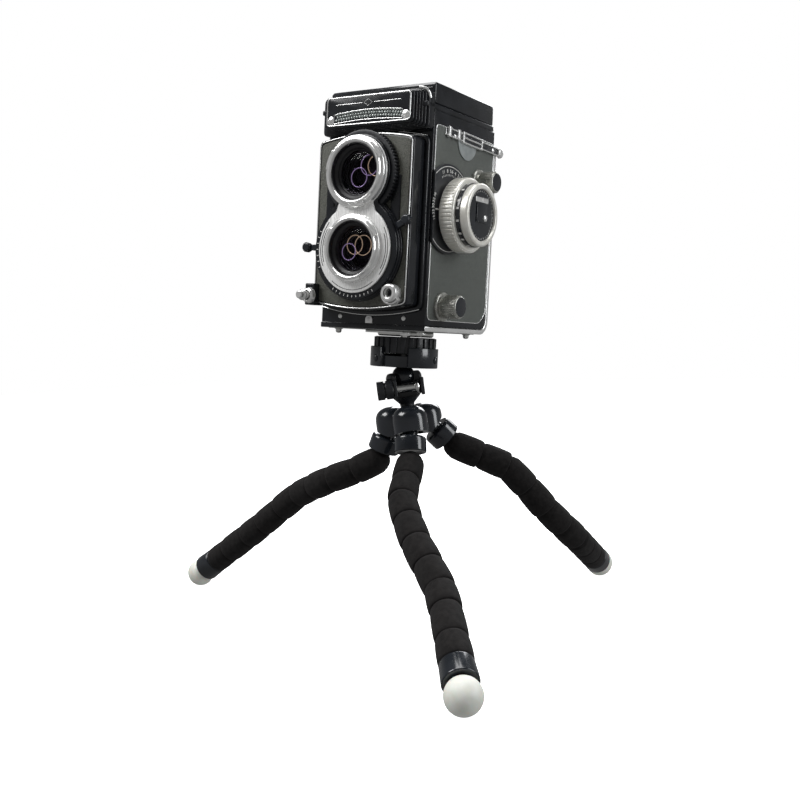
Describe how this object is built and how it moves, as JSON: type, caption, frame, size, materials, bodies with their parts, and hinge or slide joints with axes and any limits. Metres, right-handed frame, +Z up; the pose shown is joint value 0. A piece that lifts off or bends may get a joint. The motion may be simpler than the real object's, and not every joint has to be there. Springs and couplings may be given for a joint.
{
  "type": "film camera on tripod",
  "caption": "Twin-lens reflex film camera with a folding waist-level hood, screwed to a small tripod with bendable foam-covered legs.",
  "frame": {"origin": "centre of the bounding box's base, on the surface that the three feet stand on", "axes": "+Z up; the lenses look along -Y; +X is the side with the focusing knob"},
  "size_m": [0.333, 0.327, 0.3357],
  "materials": {
    "black_enamel": "glossy black enamel",
    "grey_leatherette": "grey leatherette over metal",
    "satin_chrome": "satin chrome",
    "coated_glass": "coated optical glass in a chrome ring",
    "black_plastic": "glossy black plastic",
    "black_foam": "matte black foam rubber",
    "white_rubber": "satin white rubber",
    "silvered_glass": "mirror"
  },
  "bodies": {
    "aperture_lever": {"aperture_lever": "black_plastic"},
    "ball": {"back_door": "grey_leatherette", "ball_stem": "black_plastic", "mount_screw": "satin_chrome", "platform_disc": "black_plastic", "pressure_plate": "black_plastic", "tripod_socket": "satin_chrome"},
    "camera": {"body_shell": "black_enamel", "distance_dial": "black_plastic", "focusing_screen": "coated_glass", "hood_frame": "black_enamel", "mirror": "silvered_glass", "nameplate": "black_enamel", "strap_lug_left": "satin_chrome", "strap_lug_right": "satin_chrome"},
    "clamp_knob": {"clamp_bolt": "satin_chrome", "clamp_knob": "black_plastic"},
    "head": {"clamp_housing": "black_plastic"},
    "crank": {"crank_arm": "satin_chrome"},
    "crank_grip": {"crank_grip": "black_plastic"},
    "door_latch": {"door_latch": "satin_chrome"},
    "lens_board": {"faceplate": "satin_chrome", "lens_board": "black_enamel", "shutter_housing": "black_enamel", "sync_socket": "satin_chrome", "taking_lens": "coated_glass", "viewing_lens": "coated_glass"},
    "focus": {"focus_knob": "satin_chrome"},
    "hood_lid": {"hood_lid": "black_enamel"},
    "hood_wall_left": {"hood_wall_left": "black_enamel"},
    "hood_wall_right": {"hood_wall_right": "black_enamel"},
    "tripod_hub": {"hub": "black_plastic"},
    "leg_front_foam_4": {"leg_front_cap": "black_plastic", "leg_front_foam_4": "black_foam", "leg_front_foot": "white_rubber"},
    "leg_front_collar": {"leg_front_collar": "black_plastic"},
    "leg_front_foam_1": {"leg_front_foam_1": "black_foam"},
    "leg_front_foam_2": {"leg_front_foam_2": "black_foam"},
    "leg_front_foam_3": {"leg_front_foam_3": "black_foam"},
    "leg_left_foam_4": {"leg_left_cap": "black_plastic", "leg_left_foam_4": "black_foam", "leg_left_foot": "white_rubber"},
    "leg_left_collar": {"leg_left_collar": "black_plastic"},
    "leg_left_foam_1": {"leg_left_foam_1": "black_foam"},
    "leg_left_foam_2": {"leg_left_foam_2": "black_foam"},
    "leg_left_foam_3": {"leg_left_foam_3": "black_foam"},
    "leg_right_foam_4": {"leg_right_cap": "black_plastic", "leg_right_foam_4": "black_foam", "leg_right_foot": "white_rubber"},
    "leg_right_collar": {"leg_right_collar": "black_plastic"},
    "leg_right_foam_1": {"leg_right_foam_1": "black_foam"},
    "leg_right_foam_2": {"leg_right_foam_2": "black_foam"},
    "leg_right_foam_3": {"leg_right_foam_3": "black_foam"},
    "lock_ring": {"lock_ring": "black_plastic"},
    "release_button": {"release_button": "satin_chrome"},
    "speed_lever": {"speed_lever": "black_plastic"},
    "spool_knob_lower": {"spool_knob_lower": "satin_chrome"},
    "spool_knob_upper": {"spool_knob_upper": "satin_chrome"},
    "supply_spool": {"supply_spool": "black_plastic"},
    "takeup_spool": {"takeup_spool": "black_plastic"}
  },
  "joints": [
    {"name": "aperture_lever_turn", "type": "hinge", "parent": "lens_board", "child": "aperture_lever", "pos_m": [0.03499, -0.05921, 0.23413], "axis": [0.0011, -0.9996, 0.03], "range_deg": [-25, 25]},
    {"name": "ball_tilt", "type": "hinge", "parent": "head", "child": "ball", "pos_m": [0.0315, -0.01154, 0.15581], "axis": [0.8177, 0.5661, 0.1045], "range_deg": [-10, 10]},
    {"name": "camera_open", "type": "hinge", "parent": "ball", "child": "camera", "pos_m": [0.03996, 0.0365, 0.30291], "axis": [-0.9975, 0.0011, 0.0706], "range_deg": [0, 90]},
    {"name": "clamp_knob_turn", "type": "hinge", "parent": "head", "child": "clamp_knob", "pos_m": [0.03091, -0.02338, 0.14801], "axis": [0.8177, 0.5661, 0.1045], "range_deg": [-90, 90]},
    {"name": "crank_grip_spin", "type": "hinge", "parent": "crank", "child": "crank_grip", "pos_m": [-0.00319, -0.00486, 0.24633], "axis": [-0.9975, 0.0011, 0.0706], "continuous": true},
    {"name": "crank_turn", "type": "hinge", "parent": "camera", "child": "crank", "pos_m": [-0.00082, -0.00385, 0.27973], "axis": [-0.9975, 0.0011, 0.0706], "continuous": true},
    {"name": "door_latch_turn", "type": "hinge", "parent": "ball", "child": "door_latch", "pos_m": [0.03351, -0.01068, 0.18423], "axis": [0.0706, 0.03, 0.9971], "range_deg": [0, 45]},
    {"name": "focus_turn", "type": "hinge", "parent": "camera", "child": "focus", "pos_m": [0.07555, -0.01855, 0.2542], "axis": [0.9975, -0.0011, -0.0706], "range_deg": [0, 300]},
    {"name": "head_swivel", "type": "hinge", "parent": "tripod_hub", "child": "head", "pos_m": [0.03317, -0.01037, 0.13642], "axis": [-0.0856, -0.06, 0.9945], "continuous": true},
    {"name": "hood_lid_open", "type": "hinge", "parent": "camera", "child": "hood_lid", "pos_m": [0.04197, -0.04194, 0.33251], "axis": [0.9975, -0.0011, -0.0706], "range_deg": [0, 90]},
    {"name": "hood_wall_left_rise", "type": "hinge", "parent": "camera", "child": "hood_wall_left", "pos_m": [0.07618, -0.04258, 0.32007], "axis": [-0.0011, 0.9996, -0.03], "range_deg": [0, 90]},
    {"name": "hood_wall_right_rise", "type": "hinge", "parent": "camera", "child": "hood_wall_right", "pos_m": [0.00635, -0.04251, 0.32502], "axis": [0.0011, -0.9996, 0.03], "range_deg": [0, 90]},
    {"name": "leg_front_collar_bend", "type": "hinge", "parent": "tripod_hub", "child": "leg_front_collar", "pos_m": [0.04133, -0.01991, 0.12699], "axis": [-0.866, -0.5, 0], "range_deg": [-9, 9]},
    {"name": "leg_front_foam_1_bend", "type": "hinge", "parent": "leg_front_collar", "child": "leg_front_foam_1", "pos_m": [0.04513, -0.0265, 0.10213], "axis": [0.1978, -0.4443, 0.8738], "range_deg": [-20, 20]},
    {"name": "leg_front_foam_2_bend", "type": "hinge", "parent": "leg_front_foam_1", "child": "leg_front_foam_2", "pos_m": [0.05892, -0.05747, 0.08326], "axis": [-0.6794, -0.7337, 0], "range_deg": [-20, 20]},
    {"name": "leg_front_foam_3_bend", "type": "hinge", "parent": "leg_front_foam_2", "child": "leg_front_foam_3", "pos_m": [0.08324, -0.07999, 0.0631], "axis": [0.4153, -0.2865, 0.8634], "range_deg": [-20, 20]},
    {"name": "leg_front_foam_4_bend", "type": "hinge", "parent": "leg_front_foam_3", "child": "leg_front_foam_4", "pos_m": [0.11082, -0.09902, 0.04353], "axis": [-0.766, -0.6428, 0], "range_deg": [-20, 20]},
    {"name": "leg_left_collar_bend", "type": "hinge", "parent": "tripod_hub", "child": "leg_left_collar", "pos_m": [0.0216, -0.01107, 0.12583], "axis": [-0.2079, 0.9781, 0], "range_deg": [-9, 9]},
    {"name": "leg_left_foam_1_bend", "type": "hinge", "parent": "leg_left_collar", "child": "leg_left_foam_1", "pos_m": [0.01207, -0.0131, 0.10172], "axis": [-0.3555, -0.0821, 0.9311], "range_deg": [-20, 20]},
    {"name": "leg_left_foam_2_bend", "type": "hinge", "parent": "leg_left_foam_1", "child": "leg_left_foam_2", "pos_m": [-0.02313, -0.02122, 0.08757], "axis": [0.225, 0.9744, 0], "range_deg": [-20, 20]},
    {"name": "leg_left_foam_3_bend", "type": "hinge", "parent": "leg_left_foam_2", "child": "leg_left_foam_3", "pos_m": [-0.05861, -0.01303, 0.07417], "axis": [-0.5871, -0.0762, 0.8059], "range_deg": [-20, 20]},
    {"name": "leg_left_foam_4_bend", "type": "hinge", "parent": "leg_left_foam_3", "child": "leg_left_foam_4", "pos_m": [-0.08962, -0.01706, 0.0512], "axis": [0.061, 0.9981, 0], "range_deg": [-20, 20]},
    {"name": "leg_right_collar_bend", "type": "hinge", "parent": "tripod_hub", "child": "leg_right_collar", "pos_m": [0.03902, 0.00159, 0.12809], "axis": [0.7431, -0.6691, 0], "range_deg": [-9, 9]},
    {"name": "leg_right_foam_1_bend", "type": "hinge", "parent": "leg_right_collar", "child": "leg_right_foam_1", "pos_m": [0.05153, 0.01549, 0.11003], "axis": [0.3359, 0.2266, 0.9143], "range_deg": [-20, 20]},
    {"name": "leg_right_foam_2_bend", "type": "hinge", "parent": "leg_right_foam_1", "child": "leg_right_foam_2", "pos_m": [0.08094, 0.03532, 0.09431], "axis": [0.6909, -0.723, 0], "range_deg": [-20, 20]},
    {"name": "leg_right_foam_3_bend", "type": "hinge", "parent": "leg_right_foam_2", "child": "leg_right_foam_3", "pos_m": [0.09934, 0.05291, 0.06503], "axis": [0.1545, 0.5931, 0.7902], "range_deg": [-20, 20]},
    {"name": "leg_right_foam_4_bend", "type": "hinge", "parent": "leg_right_foam_3", "child": "leg_right_foam_4", "pos_m": [0.10707, 0.08258, 0.04125], "axis": [0.9816, 0.1908, 0], "range_deg": [-20, 20]},
    {"name": "lens_board_slide", "type": "slide", "parent": "camera", "child": "lens_board", "axis": [0.0011, -0.9996, 0.03], "range_m": [0, 0.008]},
    {"name": "lock_ring_turn", "type": "hinge", "parent": "ball", "child": "lock_ring", "pos_m": [0.03231, -0.01119, 0.16728], "axis": [0.0706, 0.03, 0.9971], "range_deg": [-60, 60]},
    {"name": "release_button_press", "type": "slide", "parent": "lens_board", "child": "release_button", "axis": [-0.0011, 0.9996, -0.03], "range_m": [0, 0.0025], "stiffness_N_per_m": 200},
    {"name": "speed_lever_turn", "type": "hinge", "parent": "lens_board", "child": "speed_lever", "pos_m": [0.03499, -0.05921, 0.23413], "axis": [0.0011, -0.9996, 0.03], "range_deg": [-22, 22]},
    {"name": "spool_knob_lower_pull", "type": "slide", "parent": "camera", "child": "spool_knob_lower", "axis": [0.9975, -0.0011, -0.0706], "range_m": [0, 0.005], "stiffness_N_per_m": 200},
    {"name": "spool_knob_upper_pull", "type": "slide", "parent": "camera", "child": "spool_knob_upper", "axis": [0.9975, -0.0011, -0.0706], "range_m": [0, 0.005], "stiffness_N_per_m": 200},
    {"name": "supply_spool_turn", "type": "hinge", "parent": "camera", "child": "supply_spool", "pos_m": [0.03271, -0.02818, 0.20146], "axis": [0.9975, -0.0011, -0.0706], "continuous": true},
    {"name": "takeup_spool_turn", "type": "hinge", "parent": "camera", "child": "takeup_spool", "pos_m": [0.03831, 0.0102, 0.28005], "axis": [0.9975, -0.0011, -0.0706], "continuous": true}
  ],
  "couplings": [
    {"joint": "lens_board_slide", "follows": "focus_turn", "m_per_rad": 0.0015279},
    {"joint": "hood_wall_left_rise", "follows": "hood_lid_open", "ratio": 1},
    {"joint": "hood_wall_right_rise", "follows": "hood_lid_open", "ratio": 1},
    {"joint": "takeup_spool_turn", "follows": "crank_turn", "ratio": -1}
  ]
}
